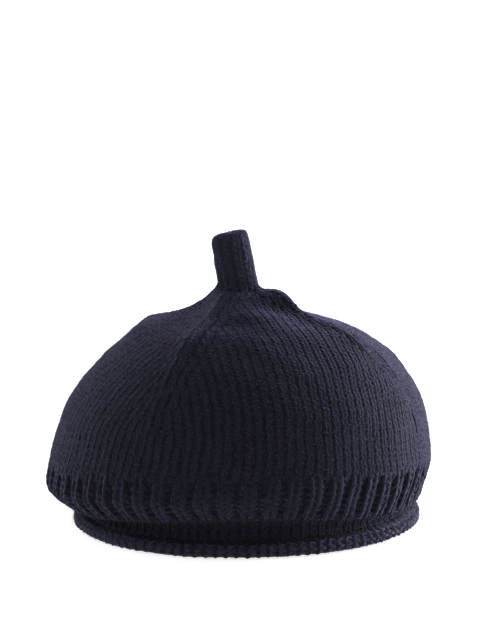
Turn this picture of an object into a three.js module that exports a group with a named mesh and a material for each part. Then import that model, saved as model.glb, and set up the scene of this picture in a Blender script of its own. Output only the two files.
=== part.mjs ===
// A knitted wool beanie cut like a small beret: a rolled edge, a plain band tucked in above it, a ribbed band that
// bulges over the tuck, the crown's straight side, its domed top of four wedges, and a short knitted stalk.
// Millimetres, +Z up. The front faces -Y. The origin is in the middle of the hat, on the surface it stands on.
import * as THREE from "three";
import { ParametricGeometry } from "three/addons/geometries/ParametricGeometry.js";
import { mergeVertices } from "three/addons/utils/BufferGeometryUtils.js";

// Driving dimensions
const FABRIC = 3.6; // thickness of the knitted wall
const STALK_FABRIC = 2.8; // the stalk is knitted tighter
const GAP = 0.45; // clearance between a piece's edge and the next piece
const FACETS = 60; // facets round the hat
const STALK_FACETS = 24; // facets round the stalk
const WEDGES = 4; // wedges of the crown
const FIRST_WEDGE_LINE = -30; // direction of one decrease line, in degrees from +X

// The rolled edge: a tube bent round the rim, thicker on the right by the given radius and thinner on the left.
// It is cut off level below its middle, at this share of its radius.
const EDGE = { x: 4, ring: 84.6, tube: 4, right: 0.5, flat: 0.84, arcSteps: 9 };

// Outer face of the fabric, from the plain band's foot to the tip of the stalk. Each section is a ring:
//   x       how far its middle lies to the right of the origin
//   across  half its width, from left to right
//   deep    half its depth, from front to back
//   level   its height at the front and back
//   right   how much higher the right side is than the level, and the left side lower
//   sides   how much higher both sides are than the level
//   panel   how flat the wedges are between their lines: 0 is round, 1 is straight
const SECTIONS = [
  { name: "band_foot", x: 4, across: 84, deep: 84, level: 7.7, right: 0.8, sides: 0, panel: 0 },
  { name: "band_middle", x: 4, across: 84.5, deep: 84.5, level: 11.7, right: 0.8, sides: -2.2, panel: 0 },
  { name: "tuck", x: 3.4, across: 86, deep: 86, level: 14.3, right: 0.6, sides: -4.7, panel: 0 },
  { name: "rib_foot", x: 2.2, across: 90.2, deep: 91, level: 17.5, right: 1.5, sides: -6.2, panel: 0 },
  { name: "rib_middle", x: -1.1, across: 96.6, deep: 96, level: 26.5, right: 2.2, sides: -6.4, panel: 0 },
  { name: "rib_top", x: 0.4, across: 98.3, deep: 96.5, level: 36.5, right: 2.8, sides: -5.5, panel: 0 },
  { name: "side_low", x: 1.8, across: 96, deep: 95, level: 46.5, right: 1, sides: -2, panel: 0 },
  { name: "side_high", x: 3.1, across: 91.4, deep: 91.4, level: 60.5, right: 0, sides: 0, panel: 0 },
  { name: "shoulder", x: 4.2, across: 83.6, deep: 83.6, level: 74.5, right: 0, sides: 0, panel: 0.04 },
  { name: "high_shoulder", x: 4.7, across: 72, deep: 72, level: 87.5, right: 0, sides: 0, panel: 0.1 },
  { name: "dome", x: 4, across: 58.5, deep: 58.5, level: 98.7, right: 0.3, sides: 0, panel: 0.4 },
  { name: "top", x: 1.9, across: 42, deep: 42, level: 104.1, right: 1.5, sides: 0, panel: 0.85 },
  { name: "flare", x: 0.2, across: 26.6, deep: 26.5, level: 109.3, right: 0.6, sides: 0, panel: 1 },
  { name: "neck", x: -0.4, across: 14.6, deep: 12.6, level: 116.6, right: 0, sides: 0, panel: 0.5 },
  { name: "stalk_foot", x: -1, across: 10.3, deep: 7, level: 123.4, right: 0, sides: 0, panel: 0 },
  { name: "stalk_middle", x: -2.9, across: 9.8, deep: 6.6, level: 135.6, right: 0.6, sides: 0, panel: 0 },
  { name: "stalk_head", x: -4.3, across: 9.2, deep: 6.2, level: 144.2, right: 1.3, sides: 0, panel: 0 },
  { name: "stalk_brow", x: -3.9, across: 7, deep: 4.6, level: 147.4, right: 1.3, sides: 0, panel: 0 },
  { name: "stalk_tip", x: -3.6, across: 0, deep: 0, level: 148.4, right: 0, sides: 0, panel: 0 },
];
const COLUMNS = ["x", "across", "deep", "level", "right", "sides", "panel"];

// Soft lifts, dents and folds, each a smooth hill on the sections' surface:
//   angle   its direction, in degrees from +X; wide is its spread round the hat, in degrees
//   at      where its middle lies, in sections; long is its spread, in sections
//   out, up how far it pushes the fabric away from the middle, and upwards
const FOLDS = [
  { name: "front lift", angle: -90, wide: 30, at: 3, long: 1.6, out: 0, up: 3.5 },
  { name: "front slope", angle: -78, wide: 45, at: 10.8, long: 0.9, out: 0, up: 1.5 },
  { name: "front puff", angle: -78, wide: 32, at: 11.7, long: 1.2, out: 7, up: 3 },
  { name: "left shoulder", angle: 180, wide: 36, at: 10.4, long: 0.9, out: 3, up: 2.2 },
  { name: "right shoulder", angle: 0, wide: 40, at: 9.3, long: 1.6, out: 1.4, up: 0.5 },
  { name: "crest by the stalk", angle: -24, wide: 36, at: 12.6, long: 0.9, out: 8, up: 3 },
  { name: "rim bulge", angle: -124, wide: 40, at: 0, long: 1.5, out: 5, up: 0 },
  { name: "rim corner", angle: -50, wide: 30, at: 0, long: 1.5, out: 1.2, up: 0 },
];

const radians = THREE.MathUtils.degToRad;
const sectionNumber = (name) => SECTIONS.findIndex((section) => section.name === name);

// Height of a fold's hill at a direction and a place along the sections: 1 on its top, 0 far away.
function hill(fold, angle, along) {
  const turn = radians(fold.angle);
  const round = Math.atan2(Math.sin(angle - turn), Math.cos(angle - turn)) / radians(fold.wide);
  const up = (along - fold.at) / fold.long;
  return Math.exp(-round * round - up * up);
}

// A section between two rows, on a Catmull-Rom curve through the table.
function sectionAt(along) {
  const last = SECTIONS.length - 1;
  const row = Math.min(Math.floor(along), last - 1);
  const part = along - row;
  const beyond = (edge, inner, column) => 2 * SECTIONS[edge][column] - SECTIONS[inner][column];
  const section = {};
  for (const column of COLUMNS) {
    const b = SECTIONS[row][column];
    const c = SECTIONS[row + 1][column];
    const a = row > 0 ? SECTIONS[row - 1][column] : beyond(0, 1, column);
    const d = row + 2 <= last ? SECTIONS[row + 2][column] : beyond(last, last - 1, column);
    const square = 2 * a - 5 * b + 4 * c - d;
    const cube = 3 * b - a - 3 * c + d;
    section[column] = b + 0.5 * part * (c - a + part * (square + part * cube));
  }
  return section;
}

// A point on the outer face of the fabric.
function outerFace(angle, along, target) {
  const section = sectionAt(along);
  const quarter = (2 * Math.PI) / WEDGES;
  const fromLine = THREE.MathUtils.euclideanModulo(angle - radians(FIRST_WEDGE_LINE), quarter);
  const straight = Math.cos(quarter / 2) / Math.cos(fromLine - quarter / 2);
  const size = 1 - section.panel * (1 - straight);
  const cos = Math.cos(angle);
  const sin = Math.sin(angle);
  let out = 0;
  let up = section.level + section.right * cos + section.sides * cos * cos;
  for (const fold of FOLDS) {
    const height = hill(fold, angle, along);
    out += fold.out * height;
    up += fold.up * height;
  }
  const x = section.x + (section.across * size + out) * cos;
  return target.set(x, (section.deep * size + out) * sin, up);
}

// A point on the inner face: the outer one moved in by the fabric's thickness, square to the surface at "level".
function innerFace(angle, along, level, fabric, target) {
  const tip = SECTIONS.length - 1;
  const step = 0.01;
  outerFace(angle, along, target);
  if (level > tip - step) return target.add(new THREE.Vector3(0, 0, -fabric));
  const round = outerFace(angle + step, level, new THREE.Vector3());
  round.sub(outerFace(angle - step, level, new THREE.Vector3()));
  const rise = outerFace(angle, level + step, new THREE.Vector3());
  rise.sub(outerFace(angle, Math.max(level - step, 0), new THREE.Vector3()));
  const outward = round.cross(rise).normalize();
  return target.addScaledVector(outward, -fabric);
}

// A surface that is a closed loop in both directions, made one closed mesh: the seams are joined and
// the triangles that collapse at a pole are dropped.
function closedSurface(pointAt, round, loop) {
  const surface = new ParametricGeometry(pointAt, round, loop);
  surface.deleteAttribute("normal");
  surface.deleteAttribute("uv");
  const merged = mergeVertices(surface, 1e-3);
  const corners = Array.from(merged.index.array);
  const kept = [];
  for (let i = 0; i < corners.length; i += 3) {
    const [a, b, c] = corners.slice(i, i + 3);
    if (a !== b && b !== c && c !== a) kept.push(a, b, c);
  }
  merged.setIndex(kept);
  merged.computeVertexNormals();
  return merged;
}

// Half the gap between two pieces, as a part of a section's height where that is least.
function insetRows(along) {
  const step = 0.01;
  let least = Infinity;
  for (let degrees = 0; degrees < 360; degrees += 15) {
    const here = outerFace(radians(degrees), along, new THREE.Vector3());
    const next = outerFace(radians(degrees), along + step, new THREE.Vector3());
    least = Math.min(least, here.distanceTo(next));
  }
  return (step * GAP) / 2 / least;
}

// A knitted wall between two places along the sections: up the outer face, over the edge, down the inner face
// and back to the start. Each edge is square to the surface at the seam, so the gap between two walls is even.
function fabricWall({ from, to, steps, facets, fabric }) {
  const loop = 2 * steps + 2;
  const start = from + insetRows(from);
  const end = to === SECTIONS.length - 1 ? to : to - insetRows(to);
  const rise = (end - start) / steps;
  const inner = (angle, down, target) => {
    const along = end - rise * down;
    const level = down === 0 ? to : down === steps ? from : along;
    return innerFace(angle, along, level, fabric, target);
  };
  return closedSurface(
    (u, v, target) => {
      const angle = 2 * Math.PI * u;
      const place = Math.round(v * loop);
      if (place <= steps) return outerFace(angle, start + rise * place, target);
      if (place === loop) return outerFace(angle, start, target);
      return inner(angle, place - steps - 1, target);
    },
    facets,
    loop,
  );
}

// The rolled edge: a circle swept round the rim, with its lowest part cut off level.
function rolledEdge() {
  const flat = Math.asin(EDGE.flat);
  const arc = Math.PI + 2 * flat;
  const loop = EDGE.arcSteps + 1;
  return closedSurface(
    (u, v, target) => {
      const angle = 2 * Math.PI * u;
      const rim = FOLDS.filter((fold) => fold.at === 0);
      const bulge = rim.reduce((sum, fold) => sum + fold.out * hill(fold, angle, 0), 0);
      const turn = -flat + (arc * Math.min(v * loop, EDGE.arcSteps)) / EDGE.arcSteps;
      const level = v * loop > EDGE.arcSteps;
      const back = level ? 1 - (v * loop - EDGE.arcSteps) : 1;
      const tube = EDGE.tube + EDGE.right * Math.cos(angle);
      const side = Math.cos(turn) * tube;
      const reach = EDGE.ring + bulge + (level ? side * (2 * back - 1) : side);
      const height = Math.max(tube * (EDGE.flat + Math.sin(turn)), 0);
      return target.set(EDGE.x + reach * Math.cos(angle), reach * Math.sin(angle), height);
    },
    FACETS,
    loop,
  );
}

const wool = (colour) => new THREE.MeshStandardMaterial({ color: colour, roughness: 0.95, metalness: 0 });

function piece(name, geometry, colour) {
  const mesh = new THREE.Mesh(geometry, wool(colour));
  mesh.name = name;
  return mesh;
}

// A piece of the hat's wall between two named sections.
function wallPiece(name, colour, from, to, steps) {
  const size = { steps, facets: FACETS, fabric: FABRIC };
  return piece(name, fabricWall({ from, to, ...size }), colour);
}

const bandFoot = sectionNumber("band_foot");
const ribFoot = sectionNumber("rib_foot");
const ribTop = sectionNumber("rib_top");
const shoulder = sectionNumber("shoulder");
const stalkFoot = sectionNumber("stalk_foot") - 0.5;
const stalkTip = sectionNumber("stalk_tip");

const hat = new THREE.Group();
hat.add(piece("rolled_edge", rolledEdge(), 0x33344a));
hat.add(wallPiece("low_band", 0x26273a, bandFoot, ribFoot, 4));
hat.add(wallPiece("rib_band", 0x2e2f44, ribFoot, ribTop, 5));
hat.add(wallPiece("crown_side", 0x30314a, ribTop, shoulder, 8));
hat.add(wallPiece("crown_top", 0x30314a, shoulder, stalkFoot, 11));
const stalk = { from: stalkFoot, to: stalkTip, steps: 8, facets: STALK_FACETS, fabric: STALK_FABRIC };
hat.add(piece("stalk", fabricWall(stalk), 0x34354c));

export default hat;
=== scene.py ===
# %% [markdown]
# # A knitted beanie, stitch by stitch
# The hat is a small beret: a rolled edge, a plain band tucked in above it, a ribbed band that bulges over
# the tuck, a domed crown of four wedges, and a knitted stalk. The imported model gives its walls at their
# real size. Here each wall is knitted again in yarn, with the loops in their true places, because at this
# size every stitch shows. Everything is in metres, +Z up, and the front of the hat faces -Y.

import bpy
import numpy as np
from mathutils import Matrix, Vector


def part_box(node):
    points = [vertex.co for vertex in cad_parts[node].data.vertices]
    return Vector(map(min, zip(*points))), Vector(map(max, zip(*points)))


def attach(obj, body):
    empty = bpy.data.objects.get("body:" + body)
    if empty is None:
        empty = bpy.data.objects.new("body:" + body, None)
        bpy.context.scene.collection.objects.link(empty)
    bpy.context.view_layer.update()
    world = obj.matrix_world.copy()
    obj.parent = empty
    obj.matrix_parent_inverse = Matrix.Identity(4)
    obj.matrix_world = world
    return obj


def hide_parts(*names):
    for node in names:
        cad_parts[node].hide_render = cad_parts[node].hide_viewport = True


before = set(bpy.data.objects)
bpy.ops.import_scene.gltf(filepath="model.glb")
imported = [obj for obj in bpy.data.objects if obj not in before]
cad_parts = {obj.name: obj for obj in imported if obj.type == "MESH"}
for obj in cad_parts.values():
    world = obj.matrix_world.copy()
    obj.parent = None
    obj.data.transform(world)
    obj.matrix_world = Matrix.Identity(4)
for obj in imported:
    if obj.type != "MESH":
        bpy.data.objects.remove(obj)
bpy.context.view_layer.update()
mm = 0.001
print("walls:", sorted(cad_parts))

# %% [markdown]
# ## The camera
# A long lens about a metre away keeps the hat's proportions, where a short lens close by would swell its
# front. It looks down by a few degrees, at a point above the crown, so the hat stands low in the view. The
# camera is made first, because everything else is judged through it.

# %% Place the camera
look_down = np.radians(8.0)
distance = 1.088
look_at = np.array([0.7 * mm, 0.0, 102.5 * mm])

camera_data = bpy.data.cameras.new("camera")
camera_data.lens = 120
camera_data.sensor_width = 36
camera = bpy.data.objects.new("camera", camera_data)
bpy.context.scene.collection.objects.link(camera)
camera.location = look_at + distance * np.array([0, -np.cos(look_down), np.sin(look_down)])
camera.rotation_euler = (np.pi / 2 - look_down, 0, 0)
bpy.context.scene.camera = camera
print("camera height in metres:", round(camera.location.z, 3))

# %% [markdown]
# ## The shape of the hat
# The hat could be cut from a sphere, but a soft hat is never that even. It is described as the maker of
# the walls did: a short table of rings from the band's foot to the stalk's tip, a smooth curve through the
# table, and a few soft folds. A ring is an ellipse, in millimetres: how far its middle is moved to the
# right, its half width, its half depth, its level, how much it rises at the right, how much it rises at
# both sides, and, from 0 to 1, how flat it is between the lines of the four wedges. A fold has a direction
# and a width in degrees, a place and a length along the rings, and how far it pushes out and up.

# %% The rings and the folds
fabric = 3.6 * mm
wedges = 4
first_flat = np.radians(-30)

columns = ["x", "across", "deep", "level", "right", "sides", "panel"]
rings = {
    "band_foot": (4, 84, 84, 7.7, 0.8, 0, 0),
    "band_middle": (4, 84.5, 84.5, 11.7, 0.8, -2.2, 0),
    "tuck": (3.4, 86, 86, 14.3, 0.6, -4.7, 0),
    "rib_foot": (2.2, 90.2, 91, 17.5, 1.5, -6.2, 0),
    "rib_middle": (-1.1, 96.6, 96, 26.5, 2.2, -6.4, 0),
    "rib_top": (0.4, 98.3, 96.5, 36.5, 2.8, -5.5, 0),
    "side_low": (1.8, 96, 95, 46.5, 1, -2, 0),
    "side_high": (3.1, 91.4, 91.4, 60.5, 0, 0, 0),
    "shoulder": (4.2, 83.6, 83.6, 74.5, 0, 0, 0.04),
    "high_shoulder": (4.7, 72, 72, 87.5, 0, 0, 0.1),
    "dome": (4, 58.5, 58.5, 98.7, 0.3, 0, 0.4),
    "top": (1.9, 42, 42, 104.1, 1.5, 0, 0.85),
    "flare": (0.2, 26.6, 26.5, 109.3, 0.6, 0, 1),
    "neck": (-0.4, 14.6, 12.6, 116.6, 0, 0, 0.5),
    "stalk_foot": (-1, 10.3, 7, 123.4, 0, 0, 0),
    "stalk_middle": (-2.9, 9.8, 6.6, 135.6, 0.6, 0, 0),
    "stalk_head": (-4.3, 9.2, 6.2, 144.2, 1.3, 0, 0),
    "stalk_brow": (-3.9, 7, 4.6, 147.4, 1.3, 0, 0),
    "stalk_tip": (-3.6, 0, 0, 148.4, 0, 0, 0),
}
ring_place = {name: float(number) for number, name in enumerate(rings)}
ring_table = np.array(list(rings.values())) * ([mm] * 6 + [1])

fold_columns = ["angle", "wide", "at", "long", "out", "up"]
folds = {
    "front lift": (-90, 30, 3, 1.6, 0, 3.5),
    "front slope": (-78, 45, 10.8, 0.9, 0, 1.5),
    "front puff": (-78, 32, 11.7, 1.2, 7, 3),
    "left shoulder": (180, 36, 10.4, 0.9, 3, 2.2),
    "right shoulder": (0, 40, 9.3, 1.6, 1.4, 0.5),
    "crest by the stalk": (-24, 36, 12.6, 0.9, 8, 3),
    "rim bulge": (-124, 40, 0, 1.5, 5, 0),
    "rim corner": (-50, 30, 0, 1.5, 1.2, 0),
}
rim_folds = ["rim bulge", "rim corner"]
print(len(rings), "rings and", len(folds), "folds")

# %% [markdown]
# ## Between the rings
# Straight lines from ring to ring would leave an edge at each. A smooth curve through the table has none
# and still meets every ring. A fold is a soft hill on top, which dies out by itself on all sides.

# %% Rings and folds anywhere
def hill(name, angle, along):
    """A soft hill: e to the minus square of the distance from its middle, in its own widths. Gives how far
    it pushes the fabric out, and how far up."""
    fold = dict(zip(fold_columns, folds[name]))
    round_by = np.angle(np.exp(1j * (angle - np.radians(fold["angle"])))) / np.radians(fold["wide"])
    height = np.exp(-(round_by**2) - ((along - fold["at"]) / fold["long"]) ** 2)
    return fold["out"] * mm * height, fold["up"] * mm * height


def ring_at(along):
    """The ring's sizes anywhere between two rows, on a Catmull-Rom curve through the table, which gets one
    more row at either end, a straight step on."""
    before_first = 2 * ring_table[0] - ring_table[1]
    after_last = 2 * ring_table[-1] - ring_table[-2]
    padded_table = np.vstack([before_first, ring_table, after_last])
    row = np.clip(along.astype(int), 0, len(ring_table) - 2)
    part = (along - row)[..., None]
    a, b, c, d = (padded_table[row + shift] for shift in range(4))
    curve = b + part / 2 * (c - a + part * (2 * a - 5 * b + 4 * c - d + part * (3 * b - a - 3 * c + d)))
    return dict(zip(columns, np.moveaxis(curve, -1, 0)))


mid_ribs = ring_at(np.array(ring_place["rib_middle"] + 0.5))
print("the ribs' upper half is", round(2 * float(mid_ribs["across"]) / mm), "mm across")

# %% [markdown]
# ## One surface for the whole hat
# Each part could have its own surface, but then their edges would have to be matched. Here one function
# gives a point of the fabric's outer face for any direction and height, and every stitch above the rolled
# edge, whatever its kind, is laid on that one surface.

# %% The outer face
def face(angle, along):
    """The outer face: an ellipse at each height, drawn in between four even lines towards the straight
    chord, cos of half a quarter / cos of the angle from the quarter's middle, plus the folds."""
    ring = ring_at(along)
    quarter = 2 * np.pi / wedges
    off_middle = np.mod(angle - first_flat, quarter) - quarter / 2
    size = 1 - ring["panel"] * (1 - np.cos(quarter / 2) / np.cos(off_middle))
    out, up = sum(np.array(hill(name, angle, along)) for name in folds)
    x = ring["x"] + (ring["across"] * size + out) * np.cos(angle)
    y = (ring["deep"] * size + out) * np.sin(angle)
    z = ring["level"] + ring["right"] * np.cos(angle) + ring["sides"] * np.cos(angle) ** 2 + up
    return np.stack([x, y, z], axis=-1)


def unit(vectors):
    """Each vector divided by its own length."""
    return vectors / np.maximum(np.linalg.norm(vectors, axis=-1, keepdims=True), 1e-12)


def outward(angle, along):
    """The direction square to the face: the cross product of the way round and the way up."""
    step = 0.01
    low = np.maximum(along - step, 0)
    high = np.minimum(along + step, len(rings) - 1)
    way_round = face(angle + step, along) - face(angle - step, along)
    return unit(np.cross(way_round, face(angle, high) - face(angle, low)))


around = np.linspace(0, 2 * np.pi, 121)
for node, low, high in (("rib_band", "rib_foot", "rib_top"), ("crown_side", "rib_top", "shoulder")):
    heights = np.linspace(ring_place[low], ring_place[high], 60)
    points = face(*np.meshgrid(around, heights))
    lowest, highest = points.min(axis=(0, 1)), points.max(axis=(0, 1))
    misfit = np.abs(np.array(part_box(node)) - [lowest, highest])[:, :2].max()
    print(node, "differs from its packed wall by at most", round(misfit / mm, 2), "mm in plan")

# %% [markdown]
# ## Courses
# Knitting is rows of loops, and each loop hangs in the one below. A row is called a course. Equal steps
# down the table of rings would make tall courses on the dome and low ones at its edge, so the fabric's own
# length up the hat is measured, and that is cut into equal courses.

# %% How many courses each part has
course_height = 2.9 * mm
climb_samples = 600


def climb(low, high):
    """The fabric's length up the hat, averaged round it, cut into equal courses. Gives their number, and a
    function from a course to its place along the rings, which goes on for one ring past both ends but
    stops a little short of the tip."""
    below_tip = len(rings) - 1.02
    fine = np.linspace(low - 1, min(high + 1, below_tip), climb_samples)
    spread = face(*np.meshgrid(around[:-1], fine))
    steps = np.linalg.norm(np.diff(spread, axis=0), axis=-1).mean(axis=1)
    length = np.concatenate([[0], steps.cumsum()])
    foot, head = np.interp([low, high], fine, length)
    count = round((head - foot) / course_height)
    return count, lambda course: np.interp(course, (length - foot) / (head - foot) * count, fine)


stalk_starts = ring_place["stalk_foot"] - 0.5
stalk_ends = ring_place["stalk_tip"] - 0.3
low_courses, low_climb = climb(ring_place["band_foot"], ring_place["rib_foot"])
rib_courses, rib_climb = climb(ring_place["rib_foot"], ring_place["rib_top"])
crown_courses, crown_climb = climb(ring_place["rib_top"], stalk_starts)
stalk_courses, stalk_climb = climb(stalk_starts, stalk_ends)
counts = {"plain": low_courses, "ribbed": rib_courses, "crown": crown_courses, "stalk": stalk_courses}
print("courses:", counts)

# %% [markdown]
# ## A place in the fabric
# The walls are cut along one ring, but on the real hat the ribs end above that ring at the front and the
# back. Moving the cut would bend every ring, so the stitches slide along the surface instead. Under the
# stalk the soft fabric also has a crease, which the walls leave out.

# %% Slide along the surface, and sink into it
seam_front, seam_tilt, seam_sag = 0.4, -0.12, -0.28
crease_at, crease_wide, crease_depth = 13.6, 0.45, 3.4 * mm


def slid(angle, along):
    """Stitches slide up along the rings by front + tilt * cos + sag * cos squared of the angle: most at the
    front and back, less at the left, and not at all at the right. The slide is whole at the ribs' top, and
    fades out evenly above and below it."""
    most = seam_front + seam_tilt * np.cos(angle) + seam_sag * np.cos(angle) ** 2
    places = [ring_place[name] for name in ("rib_foot", "rib_top", "high_shoulder")]
    return along + most * np.interp(along, places, [0, 1, 0])


def laid(angle, along, lift):
    """A point in the fabric: the outer face moved in to the middle of the wall, and out again by lift. Where
    the crown meets the stalk it creases in, by depth * e to the minus square of the distance * (0.5 - sin of
    the angle), where the last factor is kept from 0, behind, to 1, in front."""
    along = slid(angle, along)
    in_front = np.clip(0.5 - np.sin(angle), 0, 1)
    lift = lift - crease_depth * in_front * np.exp(-(((along - crease_at) / crease_wide) ** 2))
    return face(angle, along) + outward(angle, along) * (lift - fabric / 2)[..., None]


seam_ends = laid(np.radians([-90.0, 0.0, 180.0]), np.full(3, ring_place["rib_top"]), np.zeros(3))
print("the ribs end at", (seam_ends[:, 2] / mm).round(1), "mm: front, right and left")

# %% [markdown]
# ## Columns round a band
# A column is a stack of loops, one above the other. The bands have the same columns all the way up, so a
# column is simply a direction, and a stitch has a column, a course, and a lift above the fabric's middle.
# The functions that turn these into a point all take the same four things, the fourth being how many
# columns the course has, so the same loop can be knitted anywhere.

# %% Where a stitch of a band lies
band_columns = 112


def band_place(way_up):
    """Columns go round at even angles from the back: angle = column / columns of a full turn. Where a
    ring's middle has moved aside, the angle takes that back by shift * sin(angle), so the columns stay
    upright."""

    def place(column, course, lift, whole):
        angle = np.pi / 2 + column * 2 * np.pi / band_columns
        ring, top = ring_at(way_up(course)), ring_at(np.array(ring_place["rib_top"]))
        angle = angle + (ring["x"] - top["x"]) / ring["across"] * np.sin(angle)
        return laid(angle, way_up(course), lift)

    return place


def perimeter(along):
    """The length of the ring at each height."""
    ring_points = face(*np.meshgrid(around, along))
    return np.linalg.norm(np.diff(ring_points, axis=1), axis=-1).sum(axis=1)


band_round = perimeter(np.array([ring_place["band_foot"]]))[0]
print("a column of the plain band is", round(band_round / band_columns / mm, 2), "mm wide")

# %% [markdown]
# ## Columns of a wedge
# The crown is shaped by decreases: two stitches are knitted as one, always along the same four lines. Even
# spokes would thin every stitch towards the top. In the real fabric the columns stay as wide as they are
# and end at the lines, which stand up as low ridges, so that is how they are laid out here. The lines'
# directions are in degrees from the hat's right, and the last one is the first again.

# %% Where a stitch of the crown lies
stitch_width = 4.62 * mm
wedge_columns = 32
wedge_lines = np.radians([-24, 60, 150, 240, 336])
gathered = 3
ridge_high, ridge_wide = 0.9 * mm, 1.3
ridge_from, ridge_fade = 0.3, 0.25
width_samples = 300


def stitches_across(way_up, courses):
    """How many stitches one wedge has at each course: the ring's quarter over a stitch's width, never more
    than it starts with, never growing, and never under one."""
    fine = np.linspace(-1, courses + 1, width_samples)
    fitting = perimeter(way_up(fine)) / (wedges * stitch_width)
    shrinking = np.minimum.accumulate(np.clip(fitting, 1, wedge_columns))
    return lambda course: np.interp(course, fine, shrinking)


def wedge_place(start, end, way_up, across_at):
    """Columns run beside the wedge's middle, so they end at its two lines as it narrows, by turns on either
    side: angle = middle + stitches from the middle * (end - start) / stitches across. The last few at each
    line close up to take in the decreases. The ridge at a line is high * e to the minus square of the
    distance in stitches / wide, and it fades in above the lower third of the crown."""
    middle, span = (start + end) / 2, end - start

    def place(column, course, lift, whole):
        from_line = np.minimum(column, whole - column)
        grown = np.clip((course / crown_courses - ridge_from) / ridge_fade, 0, 1)
        lift = lift + ridge_high * np.exp(-((from_line / ridge_wide) ** 2)) * grown
        fitting = across_at(course)
        first = np.ceil((wedge_columns - whole) / 2) - wedge_columns / 2
        near_start = np.clip((gathered - column) / gathered, 0, 1)
        near_end = np.clip((column - whole + gathered) / gathered, 0, 1)
        spread = first + column
        spread = spread + (-fitting / 2 - first) * near_start + (fitting / 2 - first - whole) * near_end
        return laid(middle + spread * span / fitting, way_up(course), lift)

    return place


across_at = stitches_across(crown_climb, crown_courses)
crown_stitches = np.round(across_at(np.arange(crown_courses) + 0.5)).astype(int)
print("stitches in one wedge, from the ribs up:", crown_stitches.tolist())

# %% [markdown]
# ## One loop
# The real loop rises from its foot, leans out, goes over its head behind the next loop's feet, and comes
# down again. It could be drawn by hand as a row of points, but sines and cosines of one turn give it in one
# line, and its end runs on smoothly into the next loop.

# %% The loop's path
points_per_loop = 10
loop_lean = 0.24
loop_reach = 0.95
leg_pull = 0.035


def loop_path(turn):
    """across = turn / full turn + lean * sin(2 turn) + pull * sin(turn), which draws a loop's two legs
    together; up = - reach * cos(turn); depth = - cos(2 turn)."""
    across = turn / (2 * np.pi) + loop_lean * np.sin(2 * turn) + leg_pull * np.sin(turn)
    return across, -loop_reach * np.cos(turn), -np.cos(2 * turn)


loop_turns = np.linspace(0, 2 * np.pi, points_per_loop, endpoint=False)
swing = np.ptp(loop_path(loop_turns)[0] - loop_turns / (2 * np.pi))
print("a loop's legs swing by", round(float(swing), 2), "of a column")

# %% [markdown]
# ## Kinds of stitch
# All hand knitting is this one loop, shown from the front or from the back. From the back, with its depth
# turned round, it is a purl bump. So a kind of stitch is a small function of a column and a course. It
# gives where the column lies, how deep the loop is and which side it shows, and how far the fabric steps
# out. Felting has pressed the hat's loops flat: the plain ones to less than half of a full loop's depth,
# the ribs' to a little over half. The bumps of the rolled edge stand out twice as far.

# %% Plain, purl and ribbed
plain_press, rib_press, purl_swell = 0.45, 0.6, 2.0
rib_wide = 0.76
rib_stand = 1.0 * mm
rib_sink = 0.6 * mm
leg_upright = 0.035
change_over = 2.2
settling_courses = 2.5


def plain_stitch(column, course):
    """Every column shows its front, pressed flat, with no change of width and no step in or out."""
    return column, plain_press, 0.0


def purl_stitch(column, course):
    """Every column shows its back, which is the same loop with its depth turned round."""
    return column, -purl_swell, 0.0


def rib_stitch(column, course):
    """One column front, one back. The front one takes the wide share of the pair, and the side changes over
    smoothly between them, as the tanh of a sine. A sine at twice the columns' pace sets the legs upright.
    The step in and out settles over the last courses, as 3 s^2 - 2 s^3, so the ribs run into the crown."""
    pair = np.floor(column / 2)
    upright = column / 2 - pair + leg_upright * np.sin(4 * np.pi * column)
    within = np.interp(upright, [0, 0.5, 1], [0, rib_wide, 1])
    side = np.tanh(change_over * np.sin(np.pi * column)) / np.tanh(change_over)
    settling = np.clip((rib_courses + 0.5 - course) / settling_courses, 0, 1)
    step = (side * rib_stand - rib_sink) * settling**2 * (3 - 2 * settling)
    return 2 * (pair + within), rib_press * side, step


rib_steps = rib_stitch(np.array([0.5, 1.5]), 0)[2] / mm
print("a rib and the hollow beside it stand out from the wall by", rib_steps.round(1), "mm")

# %% [markdown]
# ## The yarn's way through the fabric
# A machine's stitches are all alike, and look it. A hand's are not, so three slow waves move each stitch a
# little across, up and out. They are sums of sines rather than separate random moves, because a loop that
# jumped on its own would tear away from its neighbours.

# %% From a turn of the loop to a place
yarn_radius = 1.3 * mm
loop_depth = 0.5 * (fabric / 2 - yarn_radius)
pressed_room = 0.5 * mm
loop_raise = fabric / 2 - yarn_radius - loop_depth + pressed_room
ditch = 0.16 * mm
waves, shortest_wave, longest_wave = 6, 2, 9
wander_across, wander_up, wander_out = 0.09, 0.14, 0.22 * mm


def uneven(column, course, size, seed):
    """No stitch is like the next: a sum of sine waves in random directions, each a few stitches long,
    divided by the root of their number."""
    source = np.random.default_rng(seed)
    total = 0.0
    for _ in range(waves):
        heading, phase = source.uniform(0, 2 * np.pi, 2)
        pace = 2 * np.pi / source.uniform(shortest_wave, longest_wave)
        total = total + np.sin(pace * (column * np.cos(heading) + course * np.sin(heading)) + phase)
    return total * size / waves**0.5


def yarn_path(place, stitch, whole, course, turn, seed):
    """The centre of the yarn: the loop's path, in its column and course, on the fabric. The fabric dips
    between two columns, by the ditch times the cosine of the column. Pressed yarn is thinner, so it is
    raised by the room that this leaves, to keep the fabric's outer face where it is."""
    across, up, depth = loop_path(turn)
    column, side, stand = stitch(across, course + 0.5 + up)
    lift = side * (depth * loop_depth - ditch * np.cos(2 * np.pi * across)) + stand + loop_raise
    column = column + uneven(column, course, wander_across, seed)
    height = course + 0.5 + up + uneven(column, course, wander_up, seed + 1)
    return place(column, height, lift + uneven(column, course, wander_out, seed + 2), whole)


wandering = uneven(np.arange(band_columns), 0, wander_out, seed=1)
print("along one course the stitches wander in and out by", round(np.ptp(wandering) / mm, 2), "mm")

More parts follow.
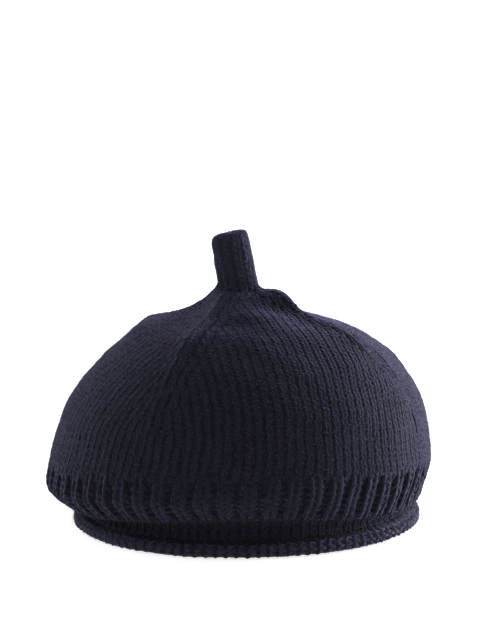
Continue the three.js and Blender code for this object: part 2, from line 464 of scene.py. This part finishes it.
# %% [markdown]
# ## Whole courses
# A course is one strand that goes through all its loops. Every point of it has to know more than where it
# is: which way the yarn runs, where the fabric's front is, and which line of stitches it belongs to, because
# the mesh and the dye both need them. So a piece is knitted as a set of long arrays, one row for each point.

# %% Knit a piece
small_turn, small_lift, small_column = 0.1, loop_depth, 0.05


def knit(place, stitches, stitch=plain_stitch, seed=1, first=0, pace=1.0):
    """Knits a piece: a strand for each course, as many loops long as the course has stitches. Gives the
    yarn's centres, its ways, the fabric's front there, the course that each belongs to, the way to the next
    column, and the column, or with a pace of a half the pair of columns and where in the pair it is."""
    lengths = stitches * points_per_loop + 1
    course = np.repeat(first + np.arange(len(stitches)), lengths)
    whole = np.repeat(stitches, lengths)
    step = np.arange(lengths.sum()) - np.repeat(lengths.cumsum() - lengths, lengths)
    turn = 2 * np.pi * step / points_per_loop
    before, centres, after = (
        yarn_path(place, stitch, whole, course, turn + shift, seed)
        for shift in (-small_turn, 0, small_turn)
    )
    column, height = turn / (2 * np.pi), course + 0.5 + loop_path(turn)[1]
    inside, outside = (
        place(column, height, lift + 0 * turn, whole) for lift in (-small_lift, small_lift)
    )
    left, right = (
        place(column + aside, height, 0 * turn, whole) for aside in (-small_column, small_column)
    )
    front, sides_way = unit(outside - inside), unit(right - left)
    shown_column = loop_path(turn)[0] * pace + (1 - pace) / 2
    return centres, unit(after - before), front, course, sides_way, shown_column


low_place = band_place(low_climb)
low_stitches = np.full(low_courses + 1, band_columns)
low_strands = knit(low_place, low_stitches, first=-1, seed=11)
print("the plain band has", len(low_strands[0]), "points of yarn in", len(low_stitches), "strands")

# %% [markdown]
# ## From arrays to an object
# Points could be added one at a time, but the hat has over half a million, so whole arrays go into a mesh
# at once. The mesh also carries a map that runs along and round the yarn, and two values for the material:
# how near each point is to the line between two columns, which sets a painted shade there, and where the
# fabric's front is.

# %% Fill a mesh
def build_mesh(name, points, triangles, corner_map, between, fronts):
    """Puts whole arrays into a new object: points, triangles, the map's value at each triangle's corner, and
    at each point how near it lies to the line between two columns, from -1 to 1, and the fabric's front."""
    mesh = bpy.data.meshes.new(name)
    mesh.vertices.add(len(points))
    mesh.vertices.foreach_set("co", points.astype(np.float32).ravel())
    mesh.loops.add(triangles.size)
    mesh.loops.foreach_set("vertex_index", triangles.astype(np.int32).ravel())
    mesh.polygons.add(len(triangles))
    mesh.polygons.foreach_set("loop_start", np.arange(0, triangles.size, 3, dtype=np.int32))
    mesh.polygons.foreach_set("use_smooth", np.ones(len(triangles), dtype=bool))
    layer = mesh.uv_layers.new(name="yarn")
    layer.data.foreach_set("uv", corner_map.astype(np.float32).ravel())
    nearness = mesh.attributes.new("between", "FLOAT", "POINT")
    nearness.data.foreach_set("value", between.astype(np.float32))
    outwards = mesh.attributes.new("front", "FLOAT_VECTOR", "POINT")
    outwards.data.foreach_set("vector", fronts.astype(np.float32).ravel())
    mesh.update(calc_edges=True)
    made = bpy.data.objects.new(name, mesh)
    bpy.context.scene.collection.objects.link(made)
    return made


def quads(grid):
    """Two triangles for each square of a grid of point numbers."""
    a, b, c, d = grid[:-1, :-1], grid[:-1, 1:], grid[1:, 1:], grid[1:, :-1]
    return np.stack([a, b, c, a, c, d], axis=-1).reshape(-1, 3)


print("a grid of 3 by 3 points makes", len(quads(np.arange(9).reshape(3, 3))), "triangles")

# %% [markdown]
# ## From a strand to a tube
# Yarn could be a Blender curve with a bevel, but a curve can't be laid on a fabric by a formula as easily,
# and its own pattern coordinates are lost when it becomes a mesh. So each centre of a strand gets an oval
# of five points, flattened as felted yarn is, and neighbouring ovals are joined into a tube.

# %% Ovals round the yarn's centres
yarn_sides = 5
yarn_flat = 0.55


def ovals(centres, ways, fronts, radii, sides_way, column):
    """Round each centre an oval: radius * (cos of the turn across + flat * sin of the turn outwards). A
    point's nearness to the line between two columns is the cosine of its column, counted to where the
    point itself lies."""
    across = unit(np.cross(fronts, ways))
    up = np.cross(ways, across) * yarn_flat
    turns = 2 * np.pi * np.arange(yarn_sides) / yarn_sides
    oval = across[:, None] * np.cos(turns)[:, None] + up[:, None] * np.sin(turns)[:, None]
    oval = oval * radii[:, None, None]
    aside = (oval * sides_way[:, None]).sum(axis=-1) / stitch_width
    between = np.cos(2 * np.pi * (column[:, None] + aside))
    return (centres[:, None] + oval).reshape(-1, 3), between.ravel()


strand_size = 2 * yarn_radius * np.array([1, yarn_flat]) / mm
print("a strand is", strand_size.round(2), "mm across the fabric and through it")


# %% Tubes along strands
def tubes(centres, strand):
    """Neighbouring ovals of one strand are joined by two triangles for each side, and a fan closes each of
    its two ends. The map: u = length along the yarn in millimetres, v = share of the way round it."""
    sides = yarn_sides
    runs_on = strand[1:] == strand[:-1]
    length = np.concatenate([[0], np.linalg.norm(np.diff(centres, axis=0), axis=1).cumsum()]) / mm
    here = np.flatnonzero(runs_on)[:, None]
    side = np.arange(sides)[None]
    after = (side + 1) % sides
    a, b = here * sides + side, here * sides + after
    c, d = b + sides, a + sides
    walls_of = np.stack([a, b, c, a, c, d], axis=-1).reshape(-1, 3)
    near, far = (np.broadcast_to(length[here + shift], a.shape) for shift in (0, 1))
    low, high = (np.broadcast_to((side + shift) / sides, a.shape) for shift in (0, 1))
    map_u = np.stack([near, near, far, near, far, far], axis=-1)
    map_v = np.stack([low, high, high, low, high, low], axis=-1)

    firsts = np.flatnonzero(np.concatenate([[True], ~runs_on])) * sides
    lasts = np.flatnonzero(np.concatenate([~runs_on, [True]])) * sides
    fan = np.stack([np.zeros(sides - 2, int), np.arange(2, sides), np.arange(1, sides - 1)], axis=-1)
    starts = (firsts[:, None, None] + fan).reshape(-1, 3)
    ends = (lasts[:, None, None] + fan[:, ::-1]).reshape(-1, 3)
    triangles = np.concatenate([walls_of, starts, ends])
    corner_map = np.zeros((triangles.size, 2))
    corner_map[: walls_of.size] = np.stack([map_u.ravel(), map_v.ravel()], axis=-1)
    return triangles, corner_map


print("one loop of yarn takes", points_per_loop * yarn_sides * 2, "triangles")

# %% [markdown]
# ## The thin web under the yarn
# Real yarn is soft and hairy, so neighbouring loops press together and their fibres close the holes between
# them. Tubes leave the holes open. They could be made thicker, but then the loops lose their shape. So a
# thin closed sheet stands for those crossing fibres. It lies inside the fabric, a little in front of its
# middle, and only shows as the dark between the loops.

# %% A closed sheet inside the fabric
web_thick = 0.5 * mm
web_front = 0.85 * mm
web_rows = 1.5


def web(
    place, whole_at, foot, head, stitch=plain_stitch, columns_step=1.0, pace=1.0, front=web_front, ring=True
):
    """Two grids, a web's thickness apart, joined along their borders. Round a ring the last column is the
    first one again. The faces are turned over if the volume, a sixth of the sum of a . (b x c), comes out
    negative."""
    courses = np.linspace(foot, head, round((head - foot) * web_rows) + 1)
    whole = np.interp(courses, np.arange(len(whole_at)) + 0.5, whole_at)
    across = np.linspace(0, 1, round(whole_at.max() / columns_step) + 1)
    column = whole[:, None] * across
    level = np.broadcast_to(courses[:, None], column.shape)
    whole = np.broadcast_to(whole[:, None], column.shape)
    between = np.cos(2 * np.pi * (column * pace + (1 - pace) / 2))
    column, _, stand = stitch(column, level)
    outer, inner = (
        place(column, level, lift + stand + 0 * column, whole) for lift in (front, front - web_thick)
    )
    if ring:
        outer, inner, between = outer[:, :-1], inner[:, :-1], between[:, :-1]
    number = np.arange(2 * between.size).reshape(2, *between.shape)
    sides = [number[::-1, :, 0], number[:, :, -1]]
    if ring:
        number = np.concatenate([number, number[:, :, :1]], axis=-1)
        sides = []
    borders = [number[:, 0], number[::-1, -1]] + sides
    triangles = np.concatenate([quads(number[0])[:, ::-1], quads(number[1])] + [quads(b) for b in borders])
    points = np.stack([outer, inner]).reshape(-1, 3)
    a, b, c = (points[triangles[:, corner]] for corner in range(3))
    inside_out = (a * np.cross(b, c)).sum() < 0
    return points, triangles[:, ::-1] if inside_out else triangles, np.tile(between.ravel(), 2)


low_web_from = -0.8
low_web_front = 0.5 * mm
low_sheet = web(low_place, low_stitches, low_web_from, low_courses, front=low_web_front)
print("the plain band's web has", len(low_sheet[1]), "triangles")

# %% [markdown]
# ## Yarn and web in one piece
# The yarn of a piece and its web are joined in one mesh, as they are one fabric. Then the piece is told
# which packed walls it stands for and what it moves with. Its wool is given later.

# %% Make a piece
thick_and_thin, thick_every, thick_shift = 0.05, 37.0, 3.1
pieces, all_strands = [], []


def make_piece(name, strands, sheet, nodes, radius=yarn_radius):
    """Joins a piece's yarn and its web in one mesh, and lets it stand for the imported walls. Hand-spun yarn
    is thick and thin: radius * (1 + a slow uneven wave along the yarn)."""
    centres, ways, fronts, course, sides_way, column = strands
    all_strands.append(strands)
    along_yarn = np.arange(len(course)) / thick_every
    radii = radius * (1 + uneven(along_yarn, course * thick_shift, thick_and_thin, 5))
    points, between = ovals(centres, ways, fronts, radii, sides_way, column)
    triangles, corner_map = tubes(centres, course)
    sheet_points, sheet_triangles, sheet_between = sheet
    triangles = np.concatenate([triangles, sheet_triangles + len(points)])
    points = np.concatenate([points, sheet_points])
    between = np.concatenate([between, sheet_between])
    corner_map = np.concatenate([corner_map, np.zeros((sheet_triangles.size, 2))])
    own_front = np.concatenate([np.repeat(fronts, yarn_sides, axis=0), 0 * sheet_points])
    made = build_mesh(name, points, triangles, corner_map, between, own_front)
    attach(made, "root")
    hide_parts(*nodes)
    print(name, len(triangles), "triangles")
    return made


pieces.append(make_piece("low_band_knit", low_strands, low_sheet, ["low_band"]))

# %% [markdown]
# ## Knit the ribs
# The plain band under the ribs is stocking stitch. The ribbed band sets one front column beside one back
# column all the way round, which is why it pulls in and shows 56 upright ribs. Its web follows the ribs in
# and out, so it has four times as many columns, and its yarn is thicker to fill them.

# %% The ribbed band
rib_yarn = 1.55 * mm
by_pairs = 0.5
rib_web_step = 0.25

place = band_place(rib_climb)
whole_at = np.full(rib_courses, band_columns)
strands = knit(place, whole_at, rib_stitch, seed=14, pace=by_pairs)
sheet = web(place, whole_at, 0, rib_courses, rib_stitch, rib_web_step, by_pairs)
pieces.append(make_piece("rib_band_knit", strands, sheet, ["rib_band"], rib_yarn))

# %% [markdown]
# ## Knit the crown
# The crown has four wedges. It could be knitted round and round, but the columns end along the four lines,
# so each wedge is its own fan of columns, fewer and fewer towards the top.

# %% The four wedges of the crown
walls = ["crown_side", "crown_top"]
for number, name in enumerate(("right", "back", "left", "front")):
    place = wedge_place(wedge_lines[number], wedge_lines[number + 1], crown_climb, across_at)
    strands = knit(place, crown_stitches, seed=21 + 7 * number)
    sheet = web(place, crown_stitches, 0, crown_courses, ring=False)
    pieces.append(make_piece("crown_wedge_" + name, strands, sheet, walls))

# %% [markdown]
# ## Knit the stalk
# The stalk goes on from the crown's last stitches as a tight little tube, and is drawn together at its tip.
# It is too narrow for wedges, so its columns go round evenly. Its yarn and its fabric are thinner.

# %% The stalk
stalk_fabric = 2.8 * mm
stalk_yarn = 1.2 * mm
web_below_tip = 0.6
stalk_across = stitches_across(stalk_climb, stalk_courses)
stalk_stitches = np.round(stalk_across(np.arange(stalk_courses) + 0.5)).astype(int) * wedges
print("stitches round the stalk:", stalk_stitches.tolist())


def stalk_place(column, course, lift, whole):
    """Columns go round evenly, however many are left: angle = column / columns of a full turn."""
    thinner = (fabric - stalk_fabric) / 2
    return laid(np.pi / 2 + column * 2 * np.pi / whole, stalk_climb(course), lift + thinner)


strands = knit(stalk_place, stalk_stitches, seed=61)
sheet = web(stalk_place, stalk_stitches, 0, stalk_courses - web_below_tip)
pieces.append(make_piece("stalk_knit", strands, sheet, ["stalk"], stalk_yarn))

# %% [markdown]
# ## Roll the edge
# Stocking stitch that is left unribbed curls outwards by itself. So the edge is the same fabric wound
# round a thin ring, with its reverse side out: rows of small bumps instead of V shapes. A ring-shaped
# primitive would give the roll but no stitches. The ring's numbers are how far its middle is moved to the
# right, its radius, the tube's radius, how much that grows to the right, and how high the tube's middle
# lies, as a share of the tube's radius.

# %% The rolled edge
edge_ring = {"x": 4 * mm, "ring": 84.6 * mm, "tube": 4 * mm, "right": 0.5 * mm, "flat": 0.84}
roll_starts = np.radians(150)
roll_courses = 7
roll_inside = fabric / 2 + 0.1 * mm
roll_web_front = 0.2 * mm
pressed_foot = 0.68


def edge_place(column, course, lift, whole):
    """A tube round the rim: the course turns once round the tube, from its inner side, under it and over it.
    The tube's lower half is pressed to a share of its height, where the hat stands on it."""
    angle = np.pi / 2 + column * 2 * np.pi / band_columns
    turn = roll_starts + course / roll_courses * 2 * np.pi
    bulge = sum(hill(name, angle, 0)[0] for name in rim_folds)
    tube = edge_ring["tube"] + edge_ring["right"] * np.cos(angle)
    reach = edge_ring["ring"] + bulge + (tube - roll_inside + lift) * np.cos(turn)
    rise = (tube - roll_inside + lift) * np.sin(turn)
    height = edge_ring["flat"] * tube + np.where(rise < 0, pressed_foot * rise, rise)
    return np.stack([edge_ring["x"] + reach * np.cos(angle), reach * np.sin(angle), height], axis=-1)


whole_at = np.full(roll_courses, band_columns)
strands = knit(edge_place, whole_at, purl_stitch, seed=81)
sheet = web(edge_place, whole_at, 0, roll_courses, front=roll_web_front)
pieces.append(make_piece("rolled_edge_knit", strands, sheet, ["rolled_edge"]))
print("triangles in all:", sum(len(piece.data.polygons) for piece in pieces))

# %% [markdown]
# ## The halo of loose fibres
# Wool has stray hairs all over. Some stand up and catch the light along every edge, and others lie over the
# stitches like a thin felt, which softens them. Hair particles would do it in one step, but they are no
# mesh, so each hair here is a tiny spike that grows out of the yarn.

# %% Loose fibres
floor_clear = 0.1 * mm
round_yarn_spread = 0.9
length_evenness = 3
hair_sides = 3
hair_faces = np.array([(0, 2, 1), (0, 1, 3), (1, 2, 3), (2, 0, 3)])
yarn = [np.concatenate(part) for part in zip(*all_strands)]


def fibres(name, hairs, radius, mean_length, lying, seed):
    """Hairs that start on the yarn's outer side. way = outwards * (1 - lying) + a random way along the fabric
    * (0.5 + lying). Each is a straight spike: a foot of three corners, and a tip. None dips below the floor:
    height = the larger of its own and a hair's breadth."""
    source = np.random.default_rng(seed)
    root = source.integers(0, len(yarn[0]), hairs)
    centre, way, front = (part[root] for part in yarn[:3])
    turn = source.normal(0, round_yarn_spread, hairs)[:, None]
    rim = unit(front * np.cos(turn) + unit(np.cross(front, way)) * np.sin(turn))
    random_way = source.normal(0, 1, (hairs, 3))
    flat_way = random_way - front * (random_way * front).sum(axis=1, keepdims=True)
    heading = unit(rim * (1 - lying) + flat_way * (0.5 + lying))
    foot = centre + (rim * (1 - lying) + front * lying) * yarn_radius * yarn_flat
    tip = foot + heading * source.gamma(length_evenness, mean_length / length_evenness, (hairs, 1))
    not_along = np.roll(heading, 1, axis=1) + [0, 0, 0.1]
    across = unit(np.cross(heading, not_along))
    up = np.cross(heading, across)
    turns = np.arange(hair_sides)[:, None] * 2 * np.pi / hair_sides
    circle = (across[:, None] * np.cos(turns) + up[:, None] * np.sin(turns)) * radius
    points = np.concatenate([foot[:, None] + circle, tip[:, None]], axis=1).reshape(-1, 3)
    points[:, 2] = np.maximum(points[:, 2], floor_clear)
    triangles = (np.arange(hairs)[:, None, None] * (hair_sides + 1) + hair_faces).reshape(-1, 3)
    no_map = np.zeros((triangles.size, 2))
    # painted light: a nearness of -1 gives the fibres the light end of the painted shade between columns
    made = build_mesh(name, points, triangles, no_map, -np.ones(len(points)), 0 * points)
    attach(made, "root")
    print(name, len(triangles), "triangles")
    return made


halo = fibres("standing_fibres", hairs=48000, radius=0.05 * mm, mean_length=1.4 * mm, lying=0.1, seed=5)
felt = fibres("lying_fibres", hairs=26000, radius=0.06 * mm, mean_length=1.7 * mm, lying=0.8, seed=6)

# %% [markdown]
# ## Writing a material as a formula
# A material is a tree of nodes, and drawing a formula as nodes takes a page for one line of arithmetic. A
# small class wraps a socket, so that an ordinary sum in Python adds the nodes that work it out.

# %% Arithmetic on sockets
class Shade:
    """A socket of a material's tree. Arithmetic on it adds the node that does it."""

    def __init__(self, tree, socket):
        self.tree, self.socket = tree, socket

    def node(self, kind, output, settings, **inputs):
        """Any other node: its settings are set, its inputs joined or set, and one output is given back."""
        made = self.tree.nodes.new(kind)
        for name, value in settings.items():
            setattr(made, name, value)
        for name, value in inputs.items():
            plug = made.inputs[int(name[1:]) if name[1:].isdigit() else name.replace("_", " ")]
            if isinstance(value, Shade):
                self.tree.links.new(value.socket, plug)
            else:
                plug.default_value = value
        return Shade(self.tree, made.outputs[output])

    def math(self, operation, first, second=0.0):
        """One step of arithmetic."""
        return self.node("ShaderNodeMath", 0, {"operation": operation}, _0=first, _1=second)

    def __add__(self, other):
        return self.math("ADD", self, other)

    def __sub__(self, other):
        return self.math("SUBTRACT", self, other)

    def __mul__(self, other):
        return self.math("MULTIPLY", self, other)

    def __rsub__(self, other):
        return self.math("SUBTRACT", other, self)

    __radd__ = __add__
    __rmul__ = __mul__


signs = ("__add__", "__radd__", "__sub__", "__rsub__", "__mul__", "__rmul__")
print("signs that a shade understands:", [sign.strip("_") for sign in signs if hasattr(Shade, sign)])

# %% [markdown]
# ## Felt
# Felt fills the gaps between strands and hides how round they are. Filling them with mesh would take
# millions of fibres, so the shading leans towards the fabric's front instead, by a share for each wool.

# %% Lean the shading
def leaned(blank, felted):
    """The normal leaned towards the fabric's front: (own normal + felted * front) / its own length."""
    front = blank.node("ShaderNodeAttribute", "Vector", {"attribute_name": "front"})
    spaces = {"vector_type": "VECTOR", "convert_from": "OBJECT", "convert_to": "WORLD"}
    front = blank.node("ShaderNodeVectorTransform", 0, spaces, Vector=front)
    own = blank.node("ShaderNodeNewGeometry", "Normal", {})
    share = (felted, felted, felted)
    added = {"operation": "MULTIPLY_ADD"}
    both = blank.node("ShaderNodeVectorMath", 0, added, _0=front, _1=share, _2=own)
    return blank.node("ShaderNodeVectorMath", 0, {"operation": "NORMALIZE"}, _0=both)


crown_felted = 0.9
lean = np.degrees(np.arctan(crown_felted))
print("on the crown, the side of a strand is shaded as if turned by", round(lean), "degrees to the front")

# %% [markdown]
# ## Navy wool
# The yarn is three plies twisted together. The map along the yarn draws the twist as a bump, fine noise
# stands for the fibres, and coarser noise for tufts of them. The colour is a very dark blue that varies
# with the same noise. Along the lines between columns it is painted darker, a painted shade for the little
# light that gets in there. A pale violet sheen stands for the fuzz, and shows most where the fabric turns
# away.

# %% The wool
plies = 3
ply_spacing = 2.6
noise_scale = {"patch": 160.0, "tuft": 700.0, "fibre": 1800.0}
noise_detail = {"patch": 3.0, "tuft": 2.0, "fibre": 2.0}
in_colour = {"patch": 0.5, "tuft": 1.5, "fibre": 0.6}
in_bump = {"ply": 0.6, "fibre": 0.5, "tuft": 1.6}
noise_middle, noise_contrast, shade_middle = 1.3, 1.6, 0.57
bump_height = 0.25 * mm


def wool(name, dark, light, sheen, felted=0.2, lines=0.56):
    """Yarn. ply = 1 - sine squared of pi * (plies * round + along / spacing), with the spacing from ply to
    ply in millimetres. The bump is the sum of ply, fibre and tuft, each times its share. The shade is such
    a sum of noises, less its middle, times the contrast, plus the middle shade, less the lines between
    columns. It goes from the dark colour to the light one."""
    material = bpy.data.materials.new(name)
    material.use_nodes = True
    tree = material.node_tree
    surface = tree.nodes["Principled BSDF"]
    blank = Shade(tree, None)
    yarn_map = blank.node("ShaderNodeUVMap", "UV", {"uv_map": "yarn"})
    along, round_it = (
        blank.node("ShaderNodeSeparateXYZ", axis, {}, Vector=yarn_map) for axis in ("X", "Y")
    )
    twist = blank.math("SINE", (round_it * plies + along * (1 / ply_spacing)) * np.pi)
    own_place = blank.node("ShaderNodeTexCoord", "Object", {})
    parts = {"ply": 1 - twist * twist}
    for kind, scale in noise_scale.items():
        settings = {"Vector": own_place, "Scale": scale, "Detail": noise_detail[kind]}
        parts[kind] = blank.node("ShaderNodeTexNoise", 0, {}, **settings)
    noise = sum(parts[kind] * share for kind, share in in_colour.items())
    between = blank.node("ShaderNodeAttribute", "Fac", {"attribute_name": "between"})
    # painted shade: the colour darkens along the lines between columns, by the nearness to them times the
    # lines argument
    shade = (noise - noise_middle) * noise_contrast + shade_middle - between * lines
    height = sum(parts[kind] * share for kind, share in in_bump.items())
    normal = leaned(blank, felted)
    bump = blank.node(
        "ShaderNodeBump", 0, {}, Height=height, Distance=bump_height, Strength=0.7, Normal=normal
    )
    colour = blank.node(
        "ShaderNodeMix", 2, {"data_type": "RGBA"}, _0=shade, _6=(*dark, 1), _7=(*light, 1)
    )
    tree.links.new(bump.socket, surface.inputs["Normal"])
    tree.links.new(colour.socket, surface.inputs["Base Color"])
    surface.inputs["Roughness"].default_value = 0.9
    surface.inputs["Specular IOR Level"].default_value = 0.25
    surface.inputs["Sheen Weight"].default_value = sheen
    surface.inputs["Sheen Roughness"].default_value = 0.45
    surface.inputs["Sheen Tint"].default_value = (0.5, 0.48, 0.95, 1)
    return material


crown_wool = wool(
    "crown wool", (0.0055, 0.006, 0.0115), (0.0182, 0.0191, 0.0335), sheen=0.34, felted=crown_felted
)
print("the crown's wool has", len(crown_wool.node_tree.nodes), "nodes")

# %% [markdown]
# ## Colour the pieces
# One dye for all would be true to the yarn, so each piece's wool is a copy of it with painted light and
# shade.
# The tucked-in band is painted darker, for the shade it lies in under the ribs. The stalk is paler for its
# fuzz and for painted light, the rolled edge is painted paler, and stray fibres are painted palest of all,
# for the light that shines through such thin hairs.

# %% A wool for each piece
rib_wool = wool("rib wool", (0.0052, 0.0057, 0.0108), (0.0145, 0.0152, 0.028), sheen=0.28)
# painted shade: the low band's wool is a darker copy of the yarn, for the shade it lies in under the ribs
painted_shade_wool = wool("low band wool with painted shade", (0.0035, 0.0038, 0.0073), (0.0095, 0.0102, 0.018), sheen=0.12)
# partly painted light: the stalk's wool is a paler copy of the yarn, for its fuzz and for the light it
# catches
stalk_wool = wool(
    "stalk wool", (0.018, 0.0185, 0.033), (0.04, 0.041, 0.068), sheen=0.5, felted=0.4, lines=0.25
)
# painted light: the rolled edge's wool is a paler copy of the yarn
edge_wool = wool("edge wool", (0.0068, 0.0073, 0.0142), (0.04, 0.041, 0.07), sheen=0.3)
for piece, colour in zip(pieces, [painted_shade_wool, rib_wool] + [crown_wool] * 4 + [stalk_wool, edge_wool]):
    piece.data.materials.append(colour)
# painted light: the stray fibres' wools are paler copies, for light that shines through the thin hairs
halo_wool = wool("standing fibres", (0.034, 0.033, 0.064), (0.085, 0.082, 0.15), sheen=0.6)
felt_wool = wool("lying fibres", (0.024, 0.0235, 0.045), (0.05, 0.0485, 0.088), sheen=0.35)
halo.data.materials.append(halo_wool)
felt.data.materials.append(felt_wool)
print("materials:", [material.name for material in bpy.data.materials if material.users])

# %% [markdown]
# ## The paper
# A pale sheet of paper lies under the hat and bends up behind it, as in a studio, so that no edge shows
# between floor and wall. A plain floor would end in a line. The paper isn't seen by diffuse light, so it
# takes the hat's soft shadow without brightening the underside.

# %% Sweep of paper
paper_half_width = 12.0
floor_reach = 1.2
bend_radius = 1.0
paper_top = 3.5


def paper_sweep():
    """Flat floor, then a quarter turn up into a wall: a profile swept sideways. In the bend, depth = reach +
    radius * sin and height = radius * (1 - cos)."""
    turn = np.linspace(0, np.pi / 2, 17)
    bend = [(floor_reach + bend_radius * np.sin(a), bend_radius * (1 - np.cos(a))) for a in turn]
    profile = [(-paper_half_width, 0.0)] + bend + [(floor_reach + bend_radius, paper_top)]
    points = [(x, y, z) for y, z in profile for x in (-paper_half_width, paper_half_width)]
    faces = [(2 * i, 2 * i + 1, 2 * i + 3, 2 * i + 2) for i in range(len(profile) - 1)]
    mesh = bpy.data.meshes.new("paper")
    mesh.from_pydata(points, [], faces)
    mesh.polygons.foreach_set("use_smooth", np.ones(len(faces), dtype=bool))
    made = bpy.data.objects.new("paper", mesh)
    bpy.context.scene.collection.objects.link(made)
    return made


paper = paper_sweep()
paper_material = bpy.data.materials.new("paper")
paper_material.use_nodes = True
paper_surface = paper_material.node_tree.nodes["Principled BSDF"]
paper_surface.inputs["Base Color"].default_value = (0.86, 0.86, 0.86, 1)
paper_surface.inputs["Roughness"].default_value = 0.9
paper_surface.inputs["Emission Color"].default_value = (1, 1, 1, 1)
paper_surface.inputs["Emission Strength"].default_value = 0.8
paper.data.materials.append(paper_material)
paper.visible_diffuse = False
print("the paper has", len(paper.data.polygons), "faces")

# %% [markdown]
# ## The lights
# Dark wool needs light from behind to stand off its own shade. The brightest of three large soft lights
# stands to the right and behind, so the right side and the top catch a rim of light. The front stays calm
# under an even, dim sky.

# %% Sky and lamps
world = bpy.data.worlds.new("studio")
world.use_nodes = True
world.node_tree.nodes["Background"].inputs["Color"].default_value = (1, 1, 1, 1)
world.node_tree.nodes["Background"].inputs["Strength"].default_value = 0.34
bpy.context.scene.world = world
mid_hat = Vector((0, 0, 0.07))


def soft_light(name, place, size, power):
    """A square area light, a little violet, that faces the hat."""
    data = bpy.data.lights.new(name, "AREA")
    data.shape = "SQUARE"
    data.size = size
    data.energy = power
    data.color = (0.94, 0.93, 1.0)
    made = bpy.data.objects.new(name, data)
    bpy.context.scene.collection.objects.link(made)
    made.location = place
    made.rotation_euler = (mid_hat - Vector(place)).to_track_quat("-Z", "Y").to_euler()


soft_light("right and behind", (1.75, 0.85, 0.2), size=1.6, power=120)
soft_light("left and behind", (-1.5, 1.2, 0.6), size=1.5, power=14)
soft_light("above and behind", (0.1, 2.0, 0.8), size=1.4, power=4)
bpy.context.scene.view_settings.view_transform = "Standard"
print("lights:", [light.name for light in bpy.data.lights])
